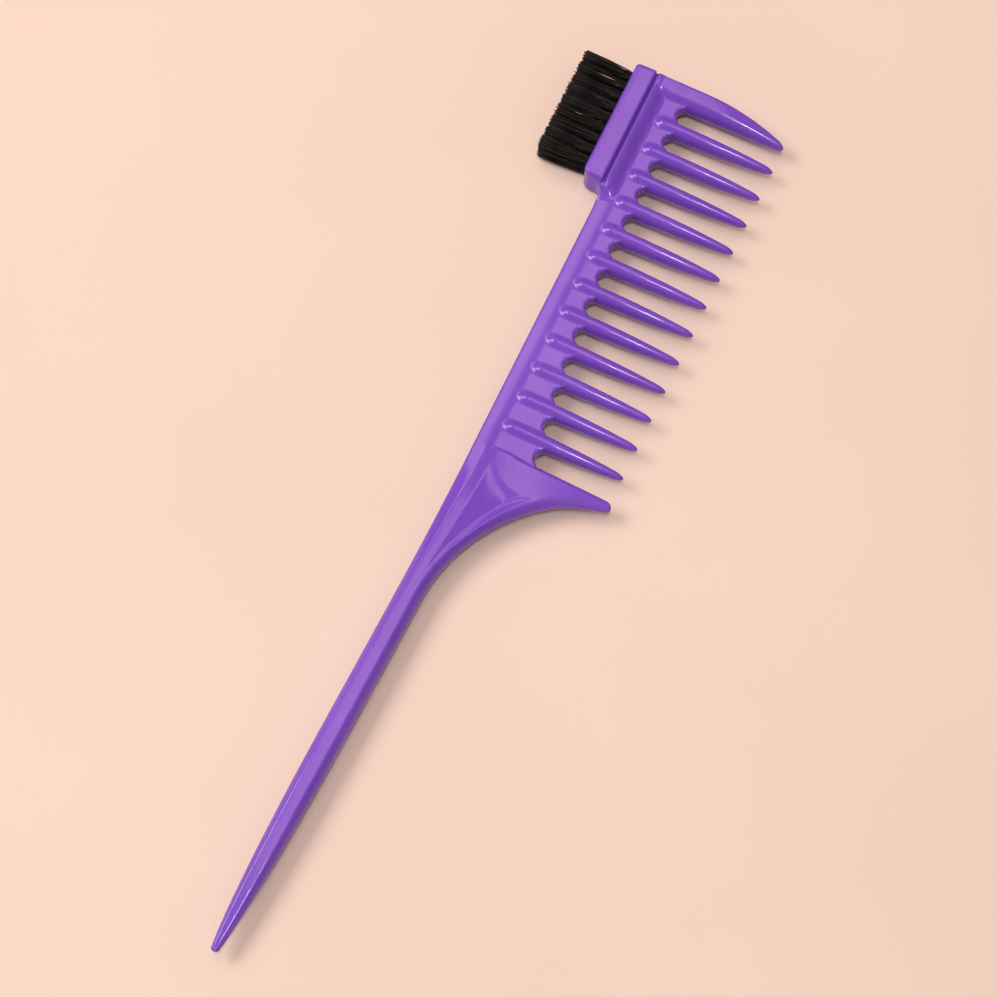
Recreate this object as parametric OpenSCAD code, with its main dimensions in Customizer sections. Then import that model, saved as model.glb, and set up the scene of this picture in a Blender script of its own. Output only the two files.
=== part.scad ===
// Hair tint brush: a one-piece moulded rake comb with a pin-tail handle,
// and a block of stapled nylon tufts on the back of its head end.
// The drawing frame has x along the comb toward the head end, y toward the
// bristles and z through the thickness; x = 0 is the second tooth from the
// head, y = 0 the straight back edge and z = 0 the mid-plane of the moulding.

/* [Comb teeth] */
// Distance between neighbouring teeth
tooth_pitch = 7.4; // [6.6:0.1:8.2]
// Number of slender teeth between the guard tooth and the flare tooth
tooth_count = 12; // [6:1:14]
// Distance from the back edge to the tips of the teeth
tooth_reach = 33; // [28:0.5:40]
// Greatest width of a slender tooth
tooth_w = 3.54; // [3:0.02:3.8]
// Greatest thickness of a slender tooth
tooth_t = 5.2; // [4.4:0.1:6]
// Distance from the back edge to the ends of the slots near the head
slot_end = 7.7; // [6.5:0.1:9]
// Distance from the back edge to the rounded upper ends of the tooth ribs
rib_start = 3.6; // [3:0.1:4.5]
// Width of the guard tooth at the head end
guard_w = 4.95; // [4:0.05:6]
// Thickness of the guard tooth
guard_t = 6; // [5:0.1:7]

/* [Spine] */
// Thickness of the web between the teeth
web_t = 3.4; // [2.6:0.1:4.2]
// Width of the bevel along the back edge
back_bevel = 2.9; // [1.5:0.1:3.4]
// Thickness left at the back edge
back_edge_t = 1.8; // [1:0.1:2.4]
// Thickness of the ledge below the bristle block
ledge_t = 6.4; // [5:0.1:7.4]

/* [Handle] */
// Length of the handle below the last tooth
handle_len = 120.7; // [90:0.1:150]
// Width of the handle
handle_w = 5.64; // [5:0.02:7]
// Thickness of the handle
handle_t = 5; // [4:0.1:6]
// Length of the tapering tail
tail_len = 50; // [30:1:60]
// Radius of the blunt end of the tail
tail_r = 1; // [0.6:0.05:1.5]
// Share of the handle's half width that each bevel takes
handle_bevel = 0.55; // [0.3:0.05:0.8]
// Radius of the hollow curve that sweeps the handle into the flare
flare_r = 39; // [36:0.5:40]
// Depth of the star-shaped hollow in the faces of the flare
dish_depth = 0.5; // [0.2:0.1:0.8]

/* [Bristle block] */
// Length of the block
block_len = 30.8; // [28:0.1:34]
// Height of the block above the back edge
block_h = 5.35; // [5:0.05:7]
// Thickness of the block
block_t = 8.4; // [8:0.1:10]
// Number of tufts along a row
tuft_columns = 9; // [4:1:9]
// Number of rows of tufts
tuft_rows = 3; // [1:1:3]
// Distance between neighbouring tufts in a row
tuft_pitch = 3; // [2.7:0.05:3.1]
// Distance between the rows
row_pitch = 2.3; // [2.2:0.05:2.5]
// Diameter of the tuft holes
hole_d = 1.9; // [1.5:0.05:1.9]
// Depth of the tuft holes
hole_depth = 4.5; // [3.5:0.1:4.5]
// Length of the bristles outside the block
bristle_len = 12.25; // [8:0.25:20]

/* [Hidden] */

purple = [0.54, 0.33, 0.76];
nylon_black = [0.08, 0.06, 0.06];
wire_brass = [0.78, 0.66, 0.36];

// Wider than the part, for cuts that run clear of it
clear_of_part = 100;
$fn = 48;

// Half sizes and places along the comb
tooth_a = tooth_w / 2;
tooth_b = tooth_t / 2;
web_half = web_t / 2;
handle_half = handle_w / 2;
edge_ratio = 0.34;
shoulder_ratio = 0.75;
head_x = 10.75;
guard_inner_x = head_x - guard_w;
last_slot_w = 3.9;
panel_x = -tooth_pitch * (tooth_count - 1) - tooth_a - last_slot_w;
neck_lead = 0.2;
neck_x = panel_x - flare_r + neck_lead;
tail_x = panel_x - handle_len;

// Curve of the slot ends: straight near the head, then a large arc
slot_bend_x = -25;
slot_bend_k = 0.00154;
slot_r = (tooth_pitch - tooth_w) / 2;

// Gentle backward bend of the handle
bend_x = panel_x + 3;
bend_k = 0.00038;
bend_end = 46;

// Bristle block and tufts
block_round = 1;
block_end_round = 2.2;
block_sunk = 1.6;
block_mid_x = head_x - block_len / 2;
end_x = head_x - block_len;
fillet_r = 2.6;
ledge_ramp = 3.4;
groove_w = 0.8;
groove_t = 5.4;
ledge_w = 1.1;
slope_w = 2.3;
tuft_mid_x = block_mid_x + 0.3;
tuft_play = 0.1;
tuft_d = hole_d - tuft_play;
tuft_flare = 0.18;
staple_w = 0.3;
staple_h = 1.5;
staple_bite = 0.5;
staple_len = hole_d + staple_bite;
staple_play = 0.05;
staple_lift = 0.3;

function tuft_name(row, col) = str("tuft_r", row, "c", col);
function tooth_x(k) = -tooth_pitch * k;
function slot_x(k) = tooth_pitch / 2 - tooth_pitch * k;
function slot_y(x) = -slot_end - (x < slot_bend_x ? slot_bend_k * pow(x - slot_bend_x, 2) : 0);

// Back edge of the handle: a parabola that runs on as a straight line
function back_y(x) =
    let (s = max(0, bend_x - x))
    s < bend_end ? bend_k * s * s : bend_k * bend_end * (2 * s - bend_end);

// Half width of the handle at a distance s from the end of the tail: an
// ellipse cut short by the blunt rounded end
tail_cut = 2.2;
function tail_cap(s) = s < tail_r ? sqrt(s * (2 * tail_r - s)) / tail_r : 1;
function tail_half(s) =
    tail_cap(s) * handle_half * sqrt(1 - pow(max(0, 1 - (s + tail_cut) / (tail_len + tail_cut)), 2));

// Relative size of a tooth at a distance d from its tip: it widens from the
// ratio at the tip along a flattening curve, up to 1 at the root
tip_ratio = 0.395;
tip_widening = 0.0537;
tip_flattening = 0.0012;
taper_len = 21;
tip_cap = 2.2;
function tooth_taper(d) = tip_ratio + tip_widening * d - tip_flattening * d * d;
function tip_round(d) = sqrt(1 - pow(max(0, 1 - d / tip_cap), 2));
function tooth_size(d) = min(1, tooth_taper(min(d, taper_len))) * tip_round(d);

// Each tooth reaches a little less far than its neighbour nearer the head
first_tip_extra = 0.12;
tip_step = 0.055;
guard_tip_extra = 0.4;

// Outer edge of the guard tooth at the height y, swept in toward the tip
guard_sweep = 3.05;
guard_sweep_y = -12;
guard_sweep_len = 20;
guard_sweep_power = 2.2;
function guard_outer_x(y) =
    head_x - guard_sweep * pow(max(0, (guard_sweep_y - y) / guard_sweep_len), guard_sweep_power);

// A solid skin over a row of cross-sections with equal numbers of points
module loft(sections) {
    count = len(sections[0]);
    last = len(sections) - 1;
    sides = [
        for (i = [0:last - 1]) for (j = [0:count - 1])
            let (a = i * count + j, b = i * count + (j + 1) % count)
            each [[a, b, b + count], [a, b + count, a + count]]];
    ends = [
        [for (j = [count - 1:-1:0]) j],
        [for (j = [0:count - 1]) last * count + j]];
    polyhedron([for (s = sections) each s], concat(sides, ends), convexity = 10);
}

// Ring of points of a tooth at the height y: an oval whose side toward the
// head turns square as the power falls from 1 to 0
oval_points = 16;
function raised(v, power) = sign(v) * pow(abs(v), power);
function oval(x, y, a, b, power = 1) = [
    for (i = [0:oval_points - 1])
        let (t = 360 * i / oval_points, c = cos(t), s = sin(t), k = c > 0 ? power : 1)
        [x + a * raised(c, k), y, b * raised(s, k)]];

// Stations along a tooth, closer together at its two rounded ends
tip_steps = [0.002, 0.25, 0.9, 2];
rib_steps = [3, 1.5, 0.6, 0.15, 0.01];
station_gap = 4.6;
station_lead = 5;
function tooth_stations(tip, top) = [
    for (d = tip_steps) -tip + d,
    for (y = [-tip + station_lead:station_gap:-top - station_lead]) y,
    for (d = rib_steps) -top - d];

rib_cap = 3;
function rib_round(d) = sqrt(1 - pow(max(0, 1 - d / rib_cap), 2));

module slender_tooth(k) {
    tip = tooth_reach + first_tip_extra - tip_step * k;
    loft([
        for (y = tooth_stations(tip, rib_start))
            let (f = tooth_size(y + tip) * rib_round(-rib_start - y))
            oval(tooth_x(k), y, tooth_a * f, tooth_b * f)]);
}

// The guard tooth grows out of the ledge at part of its width, and its outer
// side goes from square at the top to oval below the middle
guard_top_ratio = 0.4;
guard_square = 0.12;
guard_square_y = -6;
guard_square_len = 16;
module guard_tooth() {
    tip = tooth_reach + guard_tip_extra;
    top = groove_w / 2 + 0.2;
    loft([
        for (y = tooth_stations(tip, top))
            let (
                outer = guard_outer_x(y),
                grown = guard_top_ratio + (1 - guard_top_ratio) * rib_round((-top - y) / 2),
                inner = outer - (outer - guard_inner_x) * grown,
                a = (outer - inner) / 2 * tip_round(y + tip),
                b = guard_t / 2 * tooth_size(y + tip),
                oval_share = min(1, max(0, (guard_square_y - y) / guard_square_len)),
                power = guard_square + (1 - guard_square) * oval_share)
            oval((inner + outer) / 2, y, a, b, power)]);
}

// Soft hexagonal cross-section from a back point p to a front point q, with
// the half thickness and the bevel of each side
function bar_section(p, q, half_p, half_q, bevel_p, bevel_q) =
    let (
        w = norm(q - p),
        u = (q - p) / w,
        rows = [
            [0, half_p * edge_ratio], [bevel_p / 2, half_p * shoulder_ratio], [bevel_p, half_p],
            [w - bevel_q, half_q], [w - bevel_q / 2, half_q * shoulder_ratio],
            [w, half_q * edge_ratio]])
    [
        for (r = rows) [p.x + u.x * r[0], p.y + u.y * r[0], -r[1]],
        for (i = [len(rows) - 1:-1:0])
            let (r = rows[i])
            [p.x + u.x * r[0], p.y + u.y * r[0], r[1]]];

// The handle from the tail to the neck
tail_steps = [0.002, 0.12, 0.45, 1];
tail_gap = 4;
handle_gap = 6;
handle_stations = [
    for (f = tail_steps) f * tail_r,
    for (s = [3:tail_gap:tail_len - 3]) s,
    for (s = [tail_len:handle_gap:neck_x - tail_x - 3]) s];
function handle_section(s) =
    let (
        x = tail_x + s,
        h = tail_half(s),
        y = back_y(x) - handle_half)
    bar_section(
        [x, y + h], [x, y - h], h * handle_t / handle_w, h * handle_t / handle_w,
        h * handle_bevel, h * handle_bevel);

// The flare: rays from the centre of the hollow curve, at an angle a from the
// y axis, cut at the back edge and then at the inner edge of the last tooth
flare_c = [neck_x, -handle_w - flare_r + back_y(neck_x)];
flare_tip = 71.5;
flare_step = 4;
corner_a = 41;
corner_blend = 8;
// The last tooth leans out by these amounts for each degree past an angle
inner_lean = 0.022;
inner_lean_a = 50;
rim_lean = 0.075;
rim_lean_a = 56;
// The flare thins toward its tip past an angle
thin_a = 38;
thin_span = 34;
thin_share = 0.5;
thin_power = 1.6;
function ray(a, r) = [flare_c.x + r * sin(a), flare_c.y + r * cos(a)];
function flare_rim(a) = flare_r - rim_lean * max(0, a - rim_lean_a);
function flare_back(a) =
    let (
        reach = -flare_c.y * tan(min(a, 60)),
        r_back = (back_y(flare_c.x + reach) - flare_c.y) / cos(a),
        inner_x = panel_x - inner_lean * max(0, a - inner_lean_a),
        r_inner = (inner_x - flare_c.x) / max(0.01, sin(a)))
    min(r_back, r_inner);
function flare_half(a) =
    handle_t / 2 * (1 - thin_share * pow(max(0, a - thin_a) / thin_span, thin_power));
// The back edge thins down to the web by the corner ray, then the panel
// beside the last slot stands up to the full thickness again
function back_half(a) =
    a < corner_a
        ? handle_t / 2 + (web_half - handle_t / 2) * pow(a / corner_a, 2)
        : web_half + (flare_half(a) - web_half) * min(1, (a - corner_a) / corner_blend);
// Width of the bevel along the back edge, widest at the corner ray
rim_bevel = handle_half * handle_bevel;
function back_bevel_w(a) =
    rim_bevel + (back_bevel - rim_bevel)
        * (a < corner_a ? a / corner_a : max(0, 1 - (a - corner_a) / corner_blend));
function flare_section(a) =
    let (
        p = ray(a, flare_back(a)),
        q = ray(a, flare_rim(a)),
        most = norm(q - p) * 0.4)
    bar_section(p, q, back_half(a), flare_half(a), min(back_bevel_w(a), most), min(rim_bevel, most));

// The tip of the flare closes in a few steps: [distance on, relative size]
flare_end = flare_section(flare_tip);
flare_tip_steps = [[0.5, 0.93], [0.95, 0.72], [1.2, 0.4]];
function flare_tip_section(step) =
    let (
        mid = (ray(flare_tip, flare_back(flare_tip)) + ray(flare_tip, flare_rim(flare_tip))) / 2,
        way = [cos(flare_tip), -sin(flare_tip)])
    [
        for (p = flare_end) [
            mid.x + (p.x - mid.x) * step[1] + way.x * step[0],
            mid.y + (p.y - mid.y) * step[1] + way.y * step[0],
            p.z * step[1]]];

module handle_and_flare() {
    loft(concat(
        [for (s = handle_stations) handle_section(s)],
        [for (a = [0:flare_step:flare_tip]) flare_section(a)],
        [flare_end],
        [for (step = flare_tip_steps) flare_tip_section(step)]));
}

// Shallow hollow in each face of the flare: a three-pointed star whose sides
// bow in toward its middle
dish_top = [panel_x - 1, -4.6];
dish_low = ray(57, flare_r + 2.4);
dish_neck = [neck_x + 2, back_y(neck_x) - handle_half];
dish_middle = [panel_x - 11, -8.4];
back_bow = [0.8, 1.9];
rim_bow = [-0.2, -0.2];
panel_bow = [-1, -1.7];
function bow(from, to, pull) = [
    for (t = [0:0.125:0.875]) (1 - t) * (1 - t) * from + 2 * t * (1 - t) * pull + t * t * to];

module flare_dish() {
    outline = concat(
        bow(dish_top, dish_neck, dish_middle + back_bow),
        bow(dish_neck, dish_low, dish_middle + rim_bow),
        bow(dish_low, dish_top, dish_middle + panel_bow));
    for (side = [-1, 1])
        translate([0, 0, side * handle_t / 2])
            linear_extrude(2 * dish_depth, center = true)
                polygon(outline);
}

// Flat plate of the spine with its bevelled back edge and slot ends
spine_start = panel_x - 1.5;
spine_end = head_x - 0.4;
module spine_outline() {
    difference() {
        polygon([
            [spine_start, 0], [spine_end, 0], [spine_end, -slot_end - slot_r],
            [slot_bend_x, -slot_end - slot_r],
            for (x = [slot_bend_x - 10:-10:panel_x]) [x, slot_y(x) - slot_r],
            [spine_start, slot_y(panel_x) - slot_r]]);
        for (k = [0:tooth_count]) {
            translate([slot_x(k), slot_y(slot_x(k)) - slot_r])
                circle(slot_r);
            translate([slot_x(k) - slot_r, slot_y(slot_x(k)) - slot_r - 2])
                square([2 * slot_r, 2]);
        }
    }
}

module across(from, to) {
    translate([from, 0, 0])
        rotate([90, 0, 90])
            linear_extrude(to - from)
                children();
}

module spine_section() {
    deep = -tooth_reach;
    polygon([
        [0, -back_edge_t / 2], [0, back_edge_t / 2], [-back_bevel, web_half],
        [deep, web_half], [deep, -web_half], [-back_bevel, -web_half]]);
}

module spine() {
    intersection() {
        linear_extrude(2 * web_t, center = true)
            spine_outline();
        across(spine_start - 1, head_x)
            spine_section();
    }
}

// Ledge and slope between the bristle block and the web, and the groove
// that sets the block off from them
module ledge_section() {
    half = ledge_t / 2;
    polygon([
        [0, -half], [0, half], [-ledge_w, half], [-ledge_w - slope_w, web_half],
        [-ledge_w - slope_w, -web_half], [-ledge_w, -half]]);
}

// The ledge runs out into the spine on a gentle ramp below the block
module ledge() {
    half = ledge_t / 2;
    intersection() {
        across(end_x - ledge_ramp, head_x)
            ledge_section();
        rotate([90, 0, 0])
            linear_extrude(2 * slot_end, center = true)
                polygon([
                    [end_x - ledge_ramp, -back_edge_t / 2], [end_x + 1, -half], [head_x, -half],
                    [head_x, half], [end_x + 1, half], [end_x - ledge_ramp, back_edge_t / 2]]);
    }
}

module rounded_plate(size, r) {
    for (x = [-1, 1])
        for (y = [-1, 1])
            translate([x * (size.x / 2 - r), y * (size.y / 2 - r)])
                circle(r);
    square([size.x - 2 * r, size.y], center = true);
    square([size.x, size.y - 2 * r], center = true);
}

// Block with every long edge rounded, sunk a little into the spine
module block_outline() {
    translate([head_x - block_round, block_h - block_round])
        circle(block_round);
    translate([end_x + block_end_round, block_h - block_end_round])
        circle(block_end_round);
    polygon([
        [head_x, -block_sunk], [head_x, block_h - block_round], [head_x - block_round, block_h],
        [end_x + block_end_round, block_h], [end_x, block_h - block_end_round],
        [end_x, -block_sunk]]);
}

module block_shape() {
    h = block_h + block_sunk;
    intersection() {
        linear_extrude(block_t, center = true)
            block_outline();
        translate([block_mid_x, block_h - h / 2, 0])
            rotate([90, 0, 90])
                linear_extrude(block_len + 1, center = true)
                    rounded_plate([h, block_t], block_round);
        translate([block_mid_x, 0, 0])
            rotate([90, 0, 0])
                linear_extrude(4 * h, center = true)
                    rounded_plate([block_len, block_t], block_round);
    }
}

// The groove in each face, and the room beside the ledge below it
module block_groove() {
    across_all = clear_of_part;
    for (side = [-1, 1]) {
        translate([block_mid_x, 0, side * (groove_t + across_all) / 2])
            cube([across_all, groove_w, across_all], center = true);
        translate([block_mid_x, -(groove_w + across_all) / 2, side * (ledge_t + across_all) / 2])
            cube([across_all, across_all, across_all], center = true);
    }
}

// Hollow curve that carries the spine up to the end of the block
module block_fillet() {
    r = fillet_r;
    thick = block_t - r;
    difference() {
        translate([end_x - r + 0.01, -1, -thick / 2])
            cube([r + 1, r + 1, thick]);
        translate([end_x - r, r, 0])
            cylinder(block_t, r = r, center = true);
    }
}

module at_tuft(row, col) {
    translate([
        tuft_mid_x + tuft_pitch * (col - (tuft_columns + 1) / 2),
        block_h,
        row_pitch * (row - (tuft_rows + 1) / 2)])
        rotate([-90, 0, 0])
            children();
}

module each_tuft() {
    for (row = [1:tuft_rows])
        for (col = [1:tuft_columns])
            at_tuft(row, col)
                children();
}

module staple(play) {
    translate([0, 0, -hole_depth + staple_lift + staple_h / 2])
        cube([staple_len + 2 * play, staple_w + 2 * play, staple_h + 2 * play], center = true);
}

module tuft_hole() {
    translate([0, 0, -hole_depth])
        cylinder(hole_depth + 1, d = hole_d, $fn = 32);
    staple(staple_play);
}

module tuft(row, col) {
    color(nylon_black)
        at_tuft(row, col)
            difference() {
                union() {
                    translate([0, 0, -hole_depth + staple_play])
                        cylinder(hole_depth, d = tuft_d, $fn = 24);
                    cylinder(
                        bristle_len,
                        r1 = tuft_d / 2, r2 = tuft_d / 2 + tuft_flare, $fn = 24);
                }
                staple(staple_play);
            }
}

module tuft_staples() {
    color(wire_brass)
        each_tuft()
            staple(0);
}

module comb_body() {
    color(purple)
        difference() {
            union() {
                spine();
                for (k = [0:tooth_count - 1])
                    slender_tooth(k);
                guard_tooth();
                difference() {
                    handle_and_flare();
                    flare_dish();
                }
                difference() {
                    union() {
                        ledge();
                        block_shape();
                        block_fillet();
                    }
                    block_groove();
                }
            }
            each_tuft()
                tuft_hole();
        }
}

// The finished part rests on the block, centred on its own outline
tip_y = -tooth_reach - guard_tip_extra;
bristle_y = block_h + bristle_len;
module placed() {
    translate([-(head_x + tail_x) / 2, -(tip_y + bristle_y) / 2, block_t / 2])
        children();
}

placed() comb_body();
placed() tuft_staples();
for (row = [1:tuft_rows])
    for (col = [1:tuft_columns])
        placed() tuft(row, col);
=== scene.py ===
"""Looks of the hair tint brush: the moulded rake comb, its tufts of nylon
filaments and the light. Shapes are worked out in millimetres in the drawing
frame of the comb (x toward the head end, y toward the bristles, z through the
thickness, zero at the second tooth, the back edge and the mid-plane), and are
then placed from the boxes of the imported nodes."""

import math

import bpy
import numpy as np
from mathutils import Matrix, Vector


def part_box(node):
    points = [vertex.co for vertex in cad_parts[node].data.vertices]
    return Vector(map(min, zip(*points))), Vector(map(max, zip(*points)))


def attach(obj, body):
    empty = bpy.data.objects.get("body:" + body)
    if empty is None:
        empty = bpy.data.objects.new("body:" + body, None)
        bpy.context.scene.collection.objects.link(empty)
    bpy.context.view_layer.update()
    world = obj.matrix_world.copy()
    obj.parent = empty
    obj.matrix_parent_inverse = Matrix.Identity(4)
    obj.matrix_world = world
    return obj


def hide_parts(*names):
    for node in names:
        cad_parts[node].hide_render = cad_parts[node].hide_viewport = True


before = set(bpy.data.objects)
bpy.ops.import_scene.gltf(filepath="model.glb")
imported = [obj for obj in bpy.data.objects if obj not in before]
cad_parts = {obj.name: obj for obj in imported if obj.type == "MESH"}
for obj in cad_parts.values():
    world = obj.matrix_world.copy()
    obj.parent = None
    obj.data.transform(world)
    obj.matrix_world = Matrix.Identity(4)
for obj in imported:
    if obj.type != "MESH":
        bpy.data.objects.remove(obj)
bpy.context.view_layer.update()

MM = 0.001
rng = np.random.default_rng(20)

# Comb teeth
TOOTH_PITCH = 7.4
TOOTH_COUNT = 12
TOOTH_REACH = 33
TOOTH_A = 1.77
TOOTH_B = 2.6
TOOTH_BLEND = 0.55
RIB_START = 3.6
RIB_CAP = 3.0
TIP_CAP = 2.2
TIP_RATIO = 0.395
TIP_WIDENING = 0.0537
TIP_FLATTENING = 0.0012
TAPER_LEN = 21
FIRST_TIP_EXTRA = 0.12
TIP_STEP = 0.055

# Guard tooth
HEAD_X = 10.75
HEAD_EDGE_R = 0.3
GUARD_INNER_X = 5.8
GUARD_HALF = 3.0
GUARD_TIP_EXTRA = 0.4
GUARD_TIP_R = 1.9
GUARD_TOP_Y = -0.6
GUARD_TOP_LEN = 4
GUARD_TOP_SHARE = 0.6
GUARD_SWEEP = 3.05
GUARD_SWEEP_Y = -12
GUARD_SWEEP_LEN = 20
GUARD_SWEEP_POWER = 2.2
GUARD_ROUND_SHARE = 0.52
GUARD_ROUND_LOSS = 0.06
GUARD_LEVEL_RAMP = (-9, -1)
GUARD_ROUND_RAMP = (8, 26)
GUARD_EDGE_RAMP = (6, 27)
GUARD_BLEND = 0.6

# Spine between the teeth
SLOT_END = 7.7
SLOT_R = 1.93
SLOT_BEND_X = -25
SLOT_BEND_K = 0.00154
SLOT_EDGE_R = 0.45
WEB_DROP = 0.75
WEB_HALF = 1.7
BACK_BEVEL = 2.9
BACK_EDGE_HALF = 0.9
BACK_CREST_R = 0.5
BACK_EDGE_R = 0.3
SPINE_SLOPE = (WEB_HALF - BACK_EDGE_HALF) / BACK_BEVEL
PLAIN_EDGE_R = 0.35
LEDGE_HALF = 3.2
LEDGE_W = 1.1
LEDGE_CREST_R = 0.4
LEDGE_EDGE_R = 0.25
LEDGE_BLEND = 0.5
SLOPE_W = 2.3
SLOPE_DEPTH = 0.8
RUN_OUT = 4.4
RUN_OUT_START = 3.4
RUN_OUT_R = 0.6

# Handle and flare
HANDLE_LEN = 120.7
HANDLE_W = 5.64
HANDLE_HALF_T = 2.5
HANDLE_BEVEL = 1.55
TAIL_LEN = 50
TAIL_CUT = 2.2
TAIL_R = 1.0
TAIL_END_R = 0.85
PLAN_EDGE_R = 0.4
EDGE_RATIO = 0.34
BEVEL_POWER = 1.35
FLARE_R = 39
FLARE_TIP = math.radians(71.5)
PANEL_X = -87.07
NECK_X = PANEL_X - FLARE_R + 0.2
TAIL_X = PANEL_X - HANDLE_LEN
BEND_X = PANEL_X + 3
BEND_K = 0.00038
BEND_END = 46
SPINE_OVERLAP = 1.5

# Flare: angles in degrees are counted along its rim from the neck
RIM_LEAN = 0.075
RIM_LEAN_ANGLE = 56
INNER_LEAN = 0.022
INNER_LEAN_ANGLE = 50
FLARE_TIP_REACH = 1.2
FLARE_TIP_R = 1.1
THIN_SHARE = 0.5
THIN_ANGLE = 38
THIN_SPAN = 34
THIN_POWER = 1.6
CORNER_ANGLE = 41
CORNER_RAMP = (40, 54)
FAR_BEVEL_LOSS = 0.75
PANEL_BEVEL = 1.0
PANEL_BEVEL_RAMP = (46, 52)
PANEL_BEVEL_SHARE = 0.8
SPINE_RAMP_X = (PANEL_X - 16, PANEL_X - 1)
SPINE_RAMP_Y = (-5.5, -2.6)
DISH_DEPTH = 1.1
DISH_REACHES = (6.5, 1.8, 7.0)
DISH_LOW_ANGLE = math.radians(57)
DISH_RIM_W = 2.4

# Bristle block
BLOCK_LEN = 30.8
BLOCK_H = 5.35
BLOCK_HALF_T = 4.2
BLOCK_ROUND = 1.0
END_ROUND = 2.2
FILLET_R = 2.6
GROOVE_HALF_W = 0.4
GROOVE_HALF_T = 2.7
GROOVE_EDGE_R = 0.3
BLOCK_ROOT = 1.5
BLOCK_BLEND = 0.2
FILLET_LOW_T = 1.0
FILLET_RISE = 2.1
FILLET_EDGE_R = 0.5
FILLET_BLEND = 0.4
HOLE_R = 0.95
HOLE_DEPTH = 4.5
HOLE_EDGE_R = 0.12
END_X = HEAD_X - BLOCK_LEN

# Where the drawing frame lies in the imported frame, in metres
body_lo, body_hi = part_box("comb_body")
ORIGIN = Vector((
    body_hi.x - HEAD_X * MM,
    body_hi.y - BLOCK_H * MM,
    (body_lo.z + body_hi.z) / 2))


def placed(points):
    """Drawing-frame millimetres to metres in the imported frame."""
    return np.asarray(points) * MM + np.array(ORIGIN)


# ---------------------------------------------------------------- fields
# Each field is a rough distance in mm to a surface, negative inside.

def both(a, b, r):
    """Where a and b overlap, its edge rounded to the radius r."""
    corner = np.hypot(np.maximum(a + r, 0), np.maximum(b + r, 0))
    return np.minimum(np.maximum(a, b), -r) + corner


def either(a, b, r):
    """a and b together, the corner between them filled to the radius r."""
    return -both(-a, -b, r)


def without(a, b, r):
    """a with b taken out of it."""
    return both(a, -b, r)


def ramp(value, low, high):
    """0 below low, 1 above high, and a smooth step between."""
    t = np.clip((value - low) / (high - low), 0, 1)
    return t * t * (3 - 2 * t)


def spindle(dx, dy, z, a, b, cap):
    """A bar of half sizes a and b whose ends are rounded over cap."""
    k0 = np.sqrt((dx / a) ** 2 + (dy / cap) ** 2 + (z / b) ** 2) + 1e-9
    k1 = np.sqrt((dx / a**2) ** 2 + (dy / cap**2) ** 2 + (z / b**2) ** 2) + 1e-9
    return k0 * (k0 - 1) / k1


def tooth_size(d):
    """Relative size of a tooth at the distance d from its tip."""
    d = np.clip(d, 0, TAPER_LEN)
    return np.minimum(1, TIP_RATIO + TIP_WIDENING * d - TIP_FLATTENING * d * d)


def slender_teeth(x, y, z):
    k = np.clip(np.round(-x / TOOTH_PITCH), 0, TOOTH_COUNT - 1)
    tip = -(TOOTH_REACH + FIRST_TIP_EXTRA - TIP_STEP * k)
    size = tooth_size(y - tip)
    past_top = np.maximum(y + RIB_START + RIB_CAP, 0) / RIB_CAP
    past_tip = np.maximum(tip + TIP_CAP - y, 0) / TIP_CAP
    dy = past_top * RIB_CAP + past_tip * TIP_CAP
    cap = np.where(past_top > 0, RIB_CAP, TIP_CAP)
    return spindle(x + TOOTH_PITCH * k, dy, z, TOOTH_A * size, TOOTH_B * size, cap)


def guard_tooth(x, y, z):
    tip = -TOOTH_REACH - GUARD_TIP_EXTRA
    swept = np.maximum(0, (GUARD_SWEEP_Y - y) / GUARD_SWEEP_LEN) ** GUARD_SWEEP_POWER
    outer = HEAD_X - GUARD_SWEEP * swept
    # The top runs out level with the ledge, and widens there to the full width
    half = GUARD_HALF * tooth_size(y - tip)
    half = half + (LEDGE_HALF - GUARD_HALF) * ramp(y, *GUARD_LEVEL_RAMP)
    to_top = np.clip(1 + (y - GUARD_TOP_Y) / GUARD_TOP_LEN, 0, 1)
    narrow = 1 - np.sqrt(1 - to_top**2)
    width = (outer - GUARD_INNER_X) * (1 - (1 - GUARD_TOP_SHARE) * narrow)
    # The inner side is rounded over part of the width, the outer side is crisp
    round_share = GUARD_ROUND_SHARE - GUARD_ROUND_LOSS * ramp(-y, *GUARD_ROUND_RAMP)
    inner_w = width * round_share
    dx = np.maximum(outer - width + inner_w - x, 0)
    inner = spindle(dx, 0 * x, z, inner_w, half, 1.0)
    outer_r = PLAIN_EDGE_R + ramp(-y, *GUARD_EDGE_RAMP)
    bar = both(inner, x - outer, outer_r)
    bar = both(bar, tip - y, GUARD_TIP_R)
    return np.maximum(bar, y - GUARD_TOP_Y)


def spine(x, y, z):
    k = np.clip(np.round((TOOTH_PITCH / 2 - x) / TOOTH_PITCH), 0, TOOTH_COUNT)
    slot_x = TOOTH_PITCH / 2 - TOOTH_PITCH * k
    bend = np.where(slot_x < SLOT_BEND_X, SLOT_BEND_K * (slot_x - SLOT_BEND_X) ** 2, 0)
    slot_y = -SLOT_END - bend - SLOT_R
    slot = np.hypot(x - slot_x, np.maximum(y - slot_y, 0)) - SLOT_R
    plate = np.abs(z) - WEB_HALF
    bevel = (np.abs(z) - BACK_EDGE_HALF + SPINE_SLOPE * y) / math.hypot(1, SPINE_SLOPE)
    body = both(both(plate, bevel, BACK_CREST_R), y, BACK_EDGE_R)
    body = np.maximum(body, slot_y + WEB_DROP - y)
    body = np.maximum(body, PANEL_X - SPINE_OVERLAP - x)
    body = both(body, x - HEAD_X, PLAIN_EDGE_R)
    return both(body, -slot, SLOT_EDGE_R)


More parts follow.
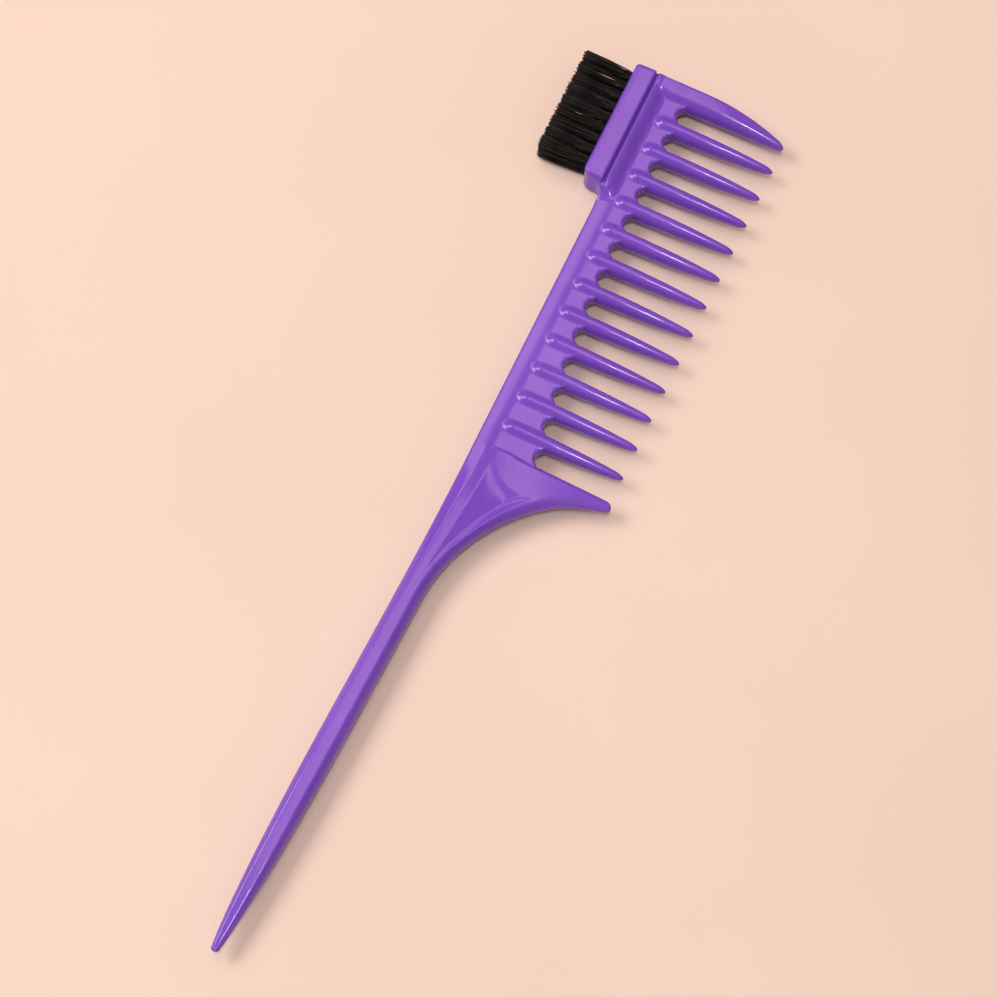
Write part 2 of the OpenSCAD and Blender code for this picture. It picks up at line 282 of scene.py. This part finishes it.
def ledge(x, y, z):
    """Ledge and slope under the block, with a gentle ramp at its end."""
    slope = (LEDGE_HALF - WEB_HALF) / SLOPE_W
    down = (np.abs(z) - LEDGE_HALF - slope * (y + LEDGE_W)) / math.hypot(1, slope)
    rise = (LEDGE_HALF - BACK_EDGE_HALF) / RUN_OUT
    end_half = BACK_EDGE_HALF + rise * (x - END_X + RUN_OUT_START)
    end = (np.abs(z) - end_half) / math.hypot(1, rise)
    body = both(np.abs(z) - LEDGE_HALF, down, LEDGE_CREST_R)
    body = both(body, end, RUN_OUT_R)
    body = both(body, x - HEAD_X, PLAIN_EDGE_R)
    body = np.maximum(body, -LEDGE_W - SLOPE_W - SLOPE_DEPTH - y)
    return both(body, y, LEDGE_EDGE_R)


def block(x, y, z):
    corner_r = np.where(x < (END_X + HEAD_X) / 2, END_ROUND, BLOCK_ROUND)
    plan = both(np.maximum(END_X - x, x - HEAD_X), y - BLOCK_H, corner_r)
    body = both(plan, np.abs(z) - BLOCK_HALF_T, BLOCK_ROUND)
    return either(body, block_fillet(x, y, z), FILLET_BLEND)


def block_fillet(x, y, z):
    """The hollow corner between the handle end of the block and the back edge."""
    hollow = FILLET_R - np.hypot(x - END_X + FILLET_R, y - FILLET_R)
    half_t = FILLET_LOW_T + FILLET_RISE * ramp(x, END_X - FILLET_R, END_X + 0.3)
    body = both(hollow, np.abs(z) - half_t, FILLET_EDGE_R)
    body = np.maximum(body, np.maximum(x - END_X - BLOCK_ROOT, END_X - FILLET_R - x))
    return np.maximum(body, np.maximum(y - FILLET_R, -BLOCK_ROOT - y))


def grooved_block(x, y, z):
    """The block with the groove along its foot, held by a narrower core."""
    body = block(x, y, z)
    core = np.maximum(np.abs(z) - GROOVE_HALF_T, x - HEAD_X + 0.1)
    core = np.maximum(np.maximum(core, body), -BLOCK_ROOT - y)
    cover = both(body, GROOVE_HALF_W - y, GROOVE_EDGE_R)
    return np.minimum(cover, core)


def back_y(x):
    """Back edge of the handle: a parabola that runs on straight."""
    s = np.maximum(0, BEND_X - x)
    near = np.minimum(s, BEND_END)
    return BEND_K * near * near + 2 * BEND_K * BEND_END * np.maximum(s - BEND_END, 0)


FLARE_C = (NECK_X, float(back_y(NECK_X)) - HANDLE_W - FLARE_R)


def curve_points(start, end, pull):
    """Points along a quadratic curve between two ends."""
    t = np.linspace(0, 1, 17)[:, None]
    start, end, pull = (np.array(p) for p in (start, end, pull))
    return (1 - t) ** 2 * start + 2 * t * (1 - t) * pull + t * t * end


def dish_sides():
    """The three bowed sides of the flare's hollow: back, rim and panel."""
    top = (PANEL_X - 1.2, -4.8)
    low_r = FLARE_R + DISH_RIM_W
    low = (
        FLARE_C[0] + low_r * math.sin(DISH_LOW_ANGLE),
        FLARE_C[1] + low_r * math.cos(DISH_LOW_ANGLE))
    neck = (NECK_X + 1, float(back_y(NECK_X)) - HANDLE_W / 2)
    mid = (PANEL_X - 11, -8.4)
    return (
        curve_points(top, neck, (mid[0] + 0.8, mid[1] + 2.3)),
        curve_points(neck, low, (mid[0] + 0.1, mid[1] - 0.7)),
        curve_points(low, top, (mid[0] - 1.0, mid[1] - 1.7)))


def line_distance(x, y, points):
    """Distance to an open line, and whether a ray along x crosses it oddly."""
    best = np.full(x.shape, 1e9)
    odd = np.zeros(x.shape, bool)
    for (ax, ay), (bx, by) in zip(points[:-1], points[1:]):
        ex, ey = bx - ax, by - ay
        t = np.clip(((x - ax) * ex + (y - ay) * ey) / (ex * ex + ey * ey), 0, 1)
        best = np.minimum(best, (x - ax - t * ex) ** 2 + (y - ay - t * ey) ** 2)
        if ay != by:
            crossing = (ay > y) != (by > y)
            odd ^= crossing & (x < ax + (y - ay) * ex / ey)
    return np.sqrt(best), odd


def dish_depth(x, y):
    """The hollow falls evenly from its back side to a steep rim side."""
    distances = []
    inside = np.zeros(x.shape, bool)
    for points, reach in zip(DISH_SIDES, DISH_REACHES):
        distance, odd = line_distance(x, y, points)
        distances.append(np.minimum(distance / reach, 1))
        inside ^= odd
    back, rim, panel = distances
    return DISH_DEPTH * back * rim * (2 - rim) * panel * (2 - panel) * inside


def bevel_fall(distance, width):
    """Share of the thickness lost at a distance in from a bevelled edge."""
    return (1 - EDGE_RATIO) * np.clip(1 - distance / width, 0, 1) ** BEVEL_POWER


def mix(a, b, share):
    return a + (b - a) * share


def handle(x, y, z):
    """Tail, handle and flare as one bar of varying width and thickness."""
    s = x - TAIL_X
    grow = np.clip((np.maximum(s, TAIL_R) + TAIL_CUT) / (TAIL_LEN + TAIL_CUT), 0, 1)
    half_w = HANDLE_W / 2 * np.sqrt(1 - (1 - grow) ** 2)
    in_flare = x > NECK_X
    dx, dy = x - FLARE_C[0], y - FLARE_C[1]
    angle = np.degrees(np.arctan2(np.maximum(dx, 0), dy))
    rim = FLARE_R - RIM_LEAN * np.maximum(0, angle - RIM_LEAN_ANGLE) - np.hypot(dx, dy)
    centre = back_y(x) - HANDLE_W / 2
    back = np.where(in_flare, y - back_y(x), y - centre - half_w)
    front = np.where(in_flare, rim, centre - y - half_w)
    inner = x - PANEL_X + INNER_LEAN * np.maximum(0, angle - INNER_LEAN_ANGLE)
    past_tip = dx * math.cos(FLARE_TIP) - dy * math.sin(FLARE_TIP) - FLARE_TIP_REACH

    # Half thickness without bevels, from the back edge to the rim
    thin = (np.maximum(0, angle - THIN_ANGLE) / THIN_SPAN) ** THIN_POWER
    rim_half = HANDLE_HALF_T * (1 - THIN_SHARE * thin)
    to_corner = np.clip(angle / CORNER_ANGLE, 0, 1)
    edge_half = HANDLE_HALF_T + (WEB_HALF - HANDLE_HALF_T) * to_corner**2
    past_corner = ramp(angle, *CORNER_RAMP)
    edge_half = mix(edge_half, rim_half, past_corner)
    share = np.clip(-back / np.maximum(-back - front, 0.5), 0, 1)
    scale = np.where(in_flare, 1, half_w * 2 / HANDLE_W)
    half = np.where(in_flare, mix(edge_half, rim_half, share), HANDLE_HALF_T * scale)

    # What the bevels along the rim, the back edge and the panel side take off
    back_bevel = HANDLE_BEVEL + (BACK_BEVEL - HANDLE_BEVEL) * to_corner * (1 - past_corner)
    back_bevel = np.where(in_flare, back_bevel, HANDLE_BEVEL) * scale
    back_fall = bevel_fall(-back, back_bevel) * (1 - FAR_BEVEL_LOSS * past_corner * in_flare)
    panel_fall = bevel_fall(-inner, PANEL_BEVEL) * ramp(angle, *PANEL_BEVEL_RAMP)
    fall = np.maximum(bevel_fall(-front, HANDLE_BEVEL * scale), back_fall)
    fall = np.maximum(fall, panel_fall * in_flare * PANEL_BEVEL_SHARE)
    height = half * (1 - fall)

    # Near the last slot the back edge takes on the section of the spine
    spine_height = np.minimum(WEB_HALF, BACK_EDGE_HALF - y * SPINE_SLOPE)
    like_spine = ramp(x, *SPINE_RAMP_X) * ramp(y, *SPINE_RAMP_Y)
    height = mix(height, spine_height, like_spine)
    height = height - dish_depth(x, y) * in_flare

    plan = both(back, front, PLAN_EDGE_R)
    plan = np.where(in_flare, np.maximum(plan, inner), plan)
    plan = np.where(in_flare, both(plan, past_tip, FLARE_TIP_R), plan)
    plan = both(plan, TAIL_X - x, TAIL_END_R)
    return both(plan, np.abs(z) - height, PLAIN_EDGE_R)


DISH_SIDES = dish_sides()


def tuft_centres():
    """Axis of every tuft hole in the drawing frame, as (x, z)."""
    centres = []
    for name in sorted(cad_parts):
        if name.startswith("tuft_r"):
            lo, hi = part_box(name)
            mid = (lo + hi) / 2 - ORIGIN
            centres.append((mid.x / MM, mid.z / MM))
    return centres


CENTRES = tuft_centres()


def tuft_holes(x, y, z):
    nearest = np.full(x.shape, 1e9)
    for cx, cz in CENTRES:
        nearest = np.minimum(nearest, (x - cx) ** 2 + (z - cz) ** 2)
    return np.maximum(np.sqrt(nearest) - HOLE_R, BLOCK_H - HOLE_DEPTH - y)


def comb_field(p):
    """Field of the whole moulding at an array of points."""
    x, y, z = p[..., 0], p[..., 1], p[..., 2]
    body = np.full(x.shape, 9.0)

    m = x > PANEL_X - 4
    xs, ys, zs = x[m], y[m], z[m]
    body[m] = either(spine(xs, ys, zs), slender_teeth(xs, ys, zs), TOOTH_BLEND)

    m = x < PANEL_X + 3
    body[m] = np.minimum(body[m], handle(x[m], y[m], z[m]))

    m = x > 3
    body[m] = either(body[m], guard_tooth(x[m], y[m], z[m]), GUARD_BLEND)

    m = (x > END_X - 7) & (y > -6)
    xs, ys, zs = x[m], y[m], z[m]
    part = either(body[m], ledge(xs, ys, zs), LEDGE_BLEND)
    part = either(part, grooved_block(xs, ys, zs), BLOCK_BLEND)
    body[m] = without(part, tuft_holes(xs, ys, zs), HOLE_EDGE_R)

    m = x > HEAD_X - 1.5
    body[m] = both(body[m], x[m] - HEAD_X, HEAD_EDGE_R)
    return body


# ---------------------------------------------------------------- meshing

def edge_crossings(values):
    """Mean crossing point of the edges of every cell, in cell units."""
    shape = [n - 1 for n in values.shape]
    total = np.zeros((*shape, 3))
    count = np.zeros(shape)
    for axis in range(3):
        others = [a for a in range(3) if a != axis]
        for shift in np.ndindex(2, 2):
            start = [0, 0, 0]
            start[others[0]], start[others[1]] = shift
            end = list(start)
            end[axis] = 1
            a = values[tuple(slice(s, s + n) for s, n in zip(start, shape))]
            b = values[tuple(slice(s, s + n) for s, n in zip(end, shape))]
            cross = (a < 0) != (b < 0)
            t = np.where(cross, a / np.where(cross, a - b, 1), 0)
            for i in range(3):
                total[..., i] += np.where(cross, start[i], 0)
            total[..., axis] += t
            count += cross
    return total, count


def surface_net(values, low, step):
    """Vertices and quads of the zero surface of a sampled field."""
    total, count = edge_crossings(values)
    mixed = count > 0
    cells = np.argwhere(mixed)
    verts = low + (cells + total[mixed] / count[mixed][:, None]) * step
    index = np.full(mixed.shape, -1)
    index[mixed] = np.arange(len(cells))
    inside = values < 0
    quads = []
    for axis in range(3):
        u, v = [(1, 2), (2, 0), (0, 1)][axis]
        lower = [slice(None)] * 3
        upper = [slice(None)] * 3
        lower[axis], upper[axis] = slice(0, -1), slice(1, None)
        a, b = inside[tuple(lower)], inside[tuple(upper)]
        for leaving in (True, False):
            found = np.argwhere((a != b) & (a == leaving))
            found = found[(found[:, u] > 0) & (found[:, v] > 0)]
            ring = []
            for du, dv in [(1, 1), (0, 1), (0, 0), (1, 0)]:
                cell = found.copy()
                cell[:, u] -= du
                cell[:, v] -= dv
                ring.append(index[tuple(cell.T)])
            quad = np.stack(ring, axis=1)
            quads.append(quad if leaving else quad[:, ::-1])
    return verts, np.concatenate(quads)


def gradient(field, points):
    """Slope of the field at the points, over a short reach each way."""
    reach = 0.02
    parts = []
    for axis in range(3):
        step = np.zeros(3)
        step[axis] = reach
        parts.append((field(points + step) - field(points - step)) / (2 * reach))
    return np.stack(parts, axis=1)


def settle(field, verts, rounds, longest):
    """Moves the vertices onto the zero surface of the field."""
    for _ in range(rounds):
        slope = gradient(field, verts)
        size = np.maximum((slope**2).sum(1), 0.05)
        move = -slope * (field(verts) / size)[:, None]
        length = np.linalg.norm(move, axis=1, keepdims=True)
        verts = verts + move * np.minimum(1, longest / np.maximum(length, 1e-9))
    return verts


def even_out(verts, quads):
    """Each vertex at the mean of its neighbours."""
    total = np.zeros_like(verts)
    count = np.zeros(len(verts))
    for a, b in ((0, 1), (1, 2), (2, 3), (3, 0)):
        for i, j in ((a, b), (b, a)):
            np.add.at(total, quads[:, i], verts[quads[:, j]])
            np.add.at(count, quads[:, i], 1)
    return total / count[:, None]


def mesh_object(name, verts, faces, smooth_count):
    """A mesh whose first faces, smooth_count of them, are smooth shaded."""
    mesh = bpy.data.meshes.new(name)
    mesh.from_pydata(verts.tolist(), [], faces)
    smooth = [i < smooth_count for i in range(len(mesh.polygons))]
    mesh.polygons.foreach_set("use_smooth", smooth)
    mesh.update()
    obj = bpy.data.objects.new(name, mesh)
    bpy.context.collection.objects.link(obj)
    return obj


FINE_STEP = 0.31
SLAB = 40


def comb_mesh():
    """The moulding's surface, worked out from its field on a grid in slabs."""
    step = FINE_STEP
    low = np.array([TAIL_X - 1, -TOOTH_REACH - 1.2, -BLOCK_HALF_T - 0.5])
    high = np.array([HEAD_X + 1, BLOCK_H + 0.8, BLOCK_HALF_T + 0.5])
    counts = np.ceil((high - low) / step).astype(int) + 1
    axes = [low[i] + step * np.arange(counts[i]) for i in range(3)]
    values = np.empty(counts)
    for i in range(0, counts[0], SLAB):
        grid = np.meshgrid(axes[0][i:i + SLAB], axes[1], axes[2], indexing="ij")
        values[i:i + SLAB] = comb_field(np.stack(grid, axis=-1))
    verts, quads = surface_net(values, low, step)
    verts = settle(comb_field, verts, 2, step / 2)
    for _ in range(2):
        verts = settle(comb_field, even_out(verts, quads), 2, step / 2)
    return mesh_object("comb_moulding", placed(verts), quads.tolist(), len(quads))


# ---------------------------------------------------------------- bristles

FILAMENT_R = 0.1
FILAMENT_SIDES = 6
FILAMENTS = 84
ROOT_R = 0.8
TIP_SPREAD = 1.75
CUT_WAVE = 0.6
CUT_TURN = 3.9
CUT_JITTER = 0.12
LEAN = 0.16
TURN_JITTER = 0.2
SPREAD_JITTER = 0.1
THICKNESS_RANGE = (0.85, 1.12)
GOLDEN = math.pi * (3 - math.sqrt(5))


def filament(path, radius):
    """Tube along a path with a slightly domed cut end."""
    rings = []
    across = np.linspace(0, 2 * math.pi, FILAMENT_SIDES, endpoint=False)
    for p in path:
        ring = np.zeros((FILAMENT_SIDES, 3))
        ring[:, 0] = p[0] + radius * np.cos(across)
        ring[:, 1] = p[1]
        ring[:, 2] = p[2] + radius * np.sin(across)
        rings.append(ring)
    dome = rings[-1].copy()
    dome[:, 1] += radius * 0.4
    dome[:, [0, 2]] = path[-1][[0, 2]] + (dome[:, [0, 2]] - path[-1][[0, 2]]) * 0.6
    rings.append(dome)
    return np.concatenate(rings)


def filament_faces(base, ring_count):
    """Side faces of a filament whose first vertex has the index base."""
    n = FILAMENT_SIDES
    faces = []
    for r in range(ring_count - 1):
        for s in range(n):
            a, b = base + r * n + s, base + r * n + (s + 1) % n
            faces.append((a, a + n, b + n, b))
    return faces


def filament_caps(base, ring_count):
    """The faces over both ends of a filament."""
    n = FILAMENT_SIDES
    last = base + (ring_count - 1) * n
    return [tuple(last + n - 1 - s for s in range(n)), tuple(base + s for s in range(n))]


def tuft_mesh(name, cx, cz, root_y, tip_y):
    """A bundle of nylon filaments cut to an uneven end."""
    verts = []
    faces = []
    caps = []
    for i in range(FILAMENTS):
        r = ROOT_R * math.sqrt((i + 0.5) / FILAMENTS)
        turn = i * GOLDEN + rng.uniform(-TURN_JITTER, TURN_JITTER)
        out = np.array([math.cos(turn), 0, math.sin(turn)])
        wave = abs(math.sin(CUT_TURN * (cx + 1.6 * r * out[0])))
        cut = abs(rng.normal(0, CUT_JITTER)) + CUT_WAVE * wave
        lean = rng.normal(0, LEAN, 2)
        spread = TIP_SPREAD + rng.normal(0, SPREAD_JITTER)
        # Height, width of the bundle and share of the lean along the filament
        stations = (
            (root_y, 1.0, 0.0),
            (BLOCK_H, 1.1, 0.0),
            (BLOCK_H + 1.6, 1.4, 0.2),
            (BLOCK_H + 6, 0.93 * spread, 0.7),
            (tip_y - cut, spread, 1.0))
        path = []
        for y, size, share in stations:
            p = np.array([cx, y, cz]) + out * r * size
            p[[0, 2]] += lean * share
            path.append(p)
        base = len(verts)
        verts.extend(filament(path, FILAMENT_R * rng.uniform(*THICKNESS_RANGE)))
        rings = len(path) + 1
        faces.extend(filament_faces(base, rings))
        caps.extend(filament_caps(base, rings))
    return mesh_object(name, placed(verts), faces + caps, len(faces))


def all_tufts(material):
    names = [n for n in sorted(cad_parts) if n.startswith("tuft_r")]
    for name, (cx, cz) in zip(names, CENTRES):
        lo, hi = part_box(name)
        root_y = (lo.y - ORIGIN.y) / MM
        tip_y = (hi.y - ORIGIN.y) / MM
        obj = tuft_mesh("filaments_" + name[5:], cx, cz, root_y, tip_y)
        obj.data.materials.append(material)
        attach(obj, "root")
        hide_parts(name)


# ---------------------------------------------------------------- materials

class Nodes:
    """Short helper for building a node material."""

    def __init__(self, name):
        self.material = bpy.data.materials.new(name)
        self.material.use_nodes = True
        self.tree = self.material.node_tree
        self.shader = self.tree.nodes["Principled BSDF"]
        self.place = self.tree.nodes.new("ShaderNodeTexCoord").outputs["Object"]

    def add(self, kind, **values):
        node = self.tree.nodes.new(kind)
        for key, value in values.items():
            if key in node.inputs:
                node.inputs[key].default_value = value
            else:
                setattr(node, key, value)
        return node

    def link(self, a, b):
        self.tree.links.new(a, b)

    def noise(self, scale, detail=3, stretch=(1, 1, 1), roughness=0.5):
        mapping = self.add("ShaderNodeMapping")
        mapping.inputs["Scale"].default_value = stretch
        self.link(self.place, mapping.inputs["Vector"])
        node = self.add("ShaderNodeTexNoise", Scale=scale, Detail=detail, Roughness=roughness)
        self.link(mapping.outputs["Vector"], node.inputs["Vector"])
        return node.outputs["Fac"]

    def mapped(self, source, from_min, from_max, to_min, to_max):
        node = self.add("ShaderNodeMapRange")
        self.link(source, node.inputs["Value"])
        for key, value in (("From Min", from_min), ("From Max", from_max),
                           ("To Min", to_min), ("To Max", to_max)):
            node.inputs[key].default_value = value
        return node.outputs["Result"]

    def ramp(self, source, stops):
        node = self.add("ShaderNodeValToRGB")
        self.link(source, node.inputs["Fac"])
        elements = node.color_ramp.elements
        while len(elements) < len(stops):
            elements.new(0.5)
        for element, (at, colour) in zip(elements, stops):
            element.position = at
            element.color = (*colour, 1)
        return node.outputs["Color"]

    def bump(self, source, distance, strength, below=None):
        node = self.add("ShaderNodeBump", Strength=strength, Distance=distance)
        self.link(source, node.inputs["Height"])
        if below is not None:
            self.link(below, node.inputs["Normal"])
        return node.outputs["Normal"]

    def finish(self, colour, roughness, normal):
        self.link(colour, self.shader.inputs["Base Color"])
        self.link(roughness, self.shader.inputs["Roughness"])
        self.link(normal, self.shader.inputs["Normal"])
        return self.material


def purple_plastic():
    """Glossy moulded plastic: faint flow clouding and a fine, soft skin."""
    n = Nodes("purple_plastic")
    clouds = n.noise(45, 4)
    colour = n.ramp(clouds, [
        (0.3, (0.186, 0.062, 0.52)),
        (0.55, (0.205, 0.071, 0.56)),
        (0.8, (0.23, 0.085, 0.605))])
    rough = n.mapped(n.noise(420, 3), 0.35, 0.7, 0.13, 0.2)
    skin = n.bump(n.noise(900, 2), 0.00002, 0.35)
    soft = n.bump(n.noise(110, 1), 0.00002, 0.12, skin)
    n.shader.inputs["IOR"].default_value = 1.5
    n.shader.inputs["Specular IOR Level"].default_value = 0.5
    n.shader.inputs["Subsurface Weight"].default_value = 0.12
    n.shader.inputs["Subsurface Radius"].default_value = (0.6, 0.25, 0.9)
    n.shader.inputs["Subsurface Scale"].default_value = 0.002
    return n.finish(colour, rough, soft)


def black_nylon():
    """Near-black filaments, a few of them browner and fewer still painted pale as glinting
    highlights.
    """
    n = Nodes("black_nylon")
    strands = n.noise(1, 2, stretch=(4200, 40, 4200))
    colour = n.ramp(strands, [
        (0.3, (0.004, 0.0025, 0.0025)),
        (0.60, (0.007, 0.004, 0.004)),
        (0.66, (0.04, 0.012, 0.008)),
        (0.72, (0.07, 0.03, 0.02)),
        # The palest stop paints highlight glints along a few filaments
        (0.74, (0.7, 0.6, 0.55))])
    rough = n.mapped(strands, 0.3, 0.7, 0.24, 0.4)
    normal = n.bump(n.noise(1, 2, stretch=(3000, 250, 3000)), 0.00003, 0.4)
    n.shader.inputs["Specular IOR Level"].default_value = 0.2
    return n.finish(colour, rough, normal)


def staple_brass():
    """Drawn wire with fine lines along it and a little tarnish."""
    n = Nodes("staple_brass")
    colour = n.ramp(n.noise(700, 4), [
        (0.35, (0.45, 0.3, 0.12)),
        (0.65, (0.72, 0.53, 0.24))])
    rough = n.mapped(n.noise(1, 3, stretch=(400, 4000, 4000)), 0.3, 0.7, 0.28, 0.5)
    normal = n.bump(n.noise(1, 2, stretch=(300, 5000, 5000)), 0.00001, 0.5)
    n.shader.inputs["Metallic"].default_value = 1.0
    return n.finish(colour, rough, normal)


def pale_floor():
    """Matt peach paper with a very faint mottle."""
    n = Nodes("pale_floor")
    colour = n.ramp(n.noise(9, 3), [
        (0.3, (0.85, 0.66, 0.53)),
        (0.7, (0.88, 0.695, 0.565))])
    rough = n.mapped(n.noise(60, 3), 0.3, 0.7, 0.75, 0.9)
    normal = n.bump(n.noise(700, 3), 0.00005, 0.2)
    return n.finish(colour, rough, normal)


# ---------------------------------------------------------------- stage

FLOOR_HALF = 1.6
FLOOR_LINES = 9


def floor(material):
    side = np.linspace(-FLOOR_HALF, FLOOR_HALF, FLOOR_LINES)
    grid = [(a, b, 0.0) for a in side for b in side]
    n = len(side)
    faces = [(i * n + j, i * n + n + j, i * n + n + j + 1, i * n + j + 1)
             for i in range(n - 1) for j in range(n - 1)]
    obj = mesh_object("studio_floor", np.array(grid), faces, 0)
    obj.data.materials.append(material)


def area_light(name, direction, distance, size, power, colour, target):
    """A soft box that faces the target; size is across and along its own lean."""
    light = bpy.data.lights.new(name, "AREA")
    light.shape = "RECTANGLE"
    light.size, light.size_y = size
    light.energy = power
    light.color = colour
    obj = bpy.data.objects.new(name, light)
    way = Vector(direction).normalized()
    obj.location = target + way * distance
    obj.rotation_euler = way.to_track_quat("Z", "Y").to_euler()
    bpy.context.collection.objects.link(obj)


def lights():
    """Key and fill for the form, and three soft boxes that the gloss mirrors:
    one in the crowns of the teeth, one in the flat faces, one in the bevels."""
    target = Vector((-0.02, 0, 0.005))
    area_light("key", (-0.1, 0.72, 0.78), 1.6, (0.73, 0.73), 11.0, (1.0, 0.97, 0.94), target)
    area_light("glint", (-0.16, -0.06, 1.0), 1.0, (0.07, 0.2), 2.7, (1.0, 0.97, 0.97), target)
    area_light("back", (0.3, 0.6, 0.75), 1.2, (0.8, 0.35), 2.6, (1.0, 0.75, 0.8), target)
    area_light("fill", (-0.9, -0.4, 0.9), 1.5, (1.0, 1.0), 1.2, (1.0, 0.92, 0.9), target)
    beside = target + Vector((0, 0.15, 0))
    area_light("panel", (0.34, 0.0, 1.12), 1.2, (0.24, 0.86), 1.9, (1.0, 0.68, 0.76), beside)
    world = bpy.data.worlds.new("studio")
    world.use_nodes = True
    back = world.node_tree.nodes["Background"]
    back.inputs["Color"].default_value = (1.0, 0.93, 0.88, 1)
    back.inputs["Strength"].default_value = 0.26
    bpy.context.scene.world = world
    bpy.context.scene.view_settings.view_transform = "Standard"


CAMERA_PLACE = (-0.13859, -0.0607, 0.45)
CAMERA_RIGHT = (0.4245, -0.9053, 0.0148)
CAMERA_UP = (0.8551, 0.4062, 0.3223)
CAMERA_BACK = (-0.2978, -0.1242, 0.9465)


def camera():
    """The photograph's view: a long lens, high over the tail end."""
    turn = Matrix((CAMERA_RIGHT, CAMERA_UP, CAMERA_BACK)).transposed().to_4x4()
    data = bpy.data.cameras.new("camera")
    data.sensor_width = 36
    data.lens = 79.44
    data.clip_start = 0.01
    data.clip_end = 20
    obj = bpy.data.objects.new("camera", data)
    obj.matrix_world = Matrix.Translation(CAMERA_PLACE) @ turn
    bpy.context.collection.objects.link(obj)
    bpy.context.scene.camera = obj


camera()
lights()
floor(pale_floor())

moulding = comb_mesh()
moulding.data.materials.append(purple_plastic())
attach(moulding, "root")
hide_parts("comb_body")

all_tufts(black_nylon())

brass = staple_brass()
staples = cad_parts["tuft_staples"]
for slot in staples.material_slots:
    slot.material = brass
